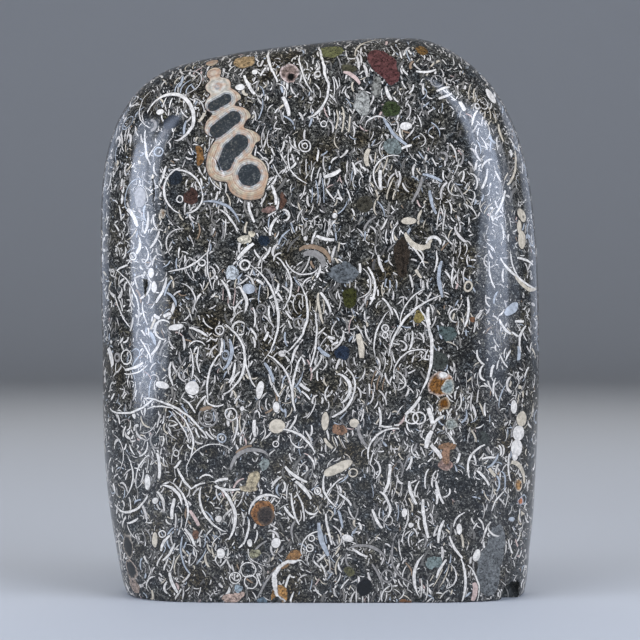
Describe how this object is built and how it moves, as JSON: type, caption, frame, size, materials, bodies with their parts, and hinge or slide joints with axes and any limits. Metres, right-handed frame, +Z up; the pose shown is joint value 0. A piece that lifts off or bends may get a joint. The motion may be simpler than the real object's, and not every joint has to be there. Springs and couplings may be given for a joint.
{
  "type": "turritella agate freeform",
  "caption": "Free-standing polished freeform of fossil shell stone: a rounded slab with a slanted shoulder and a flat sawn base.",
  "frame": {"origin": "middle of the sawn base, on the ground", "axes": "+Z up, the tallest way; +Y from the front face to the back face, the thinnest way; +X to the right, seen from the front"},
  "size_m": [0.094, 0.0398, 0.1191],
  "materials": {
    "polished_stone": "high polish"
  },
  "bodies": {
    "root": {"turritella_agate": "polished_stone"}
  },
  "joints": []
}
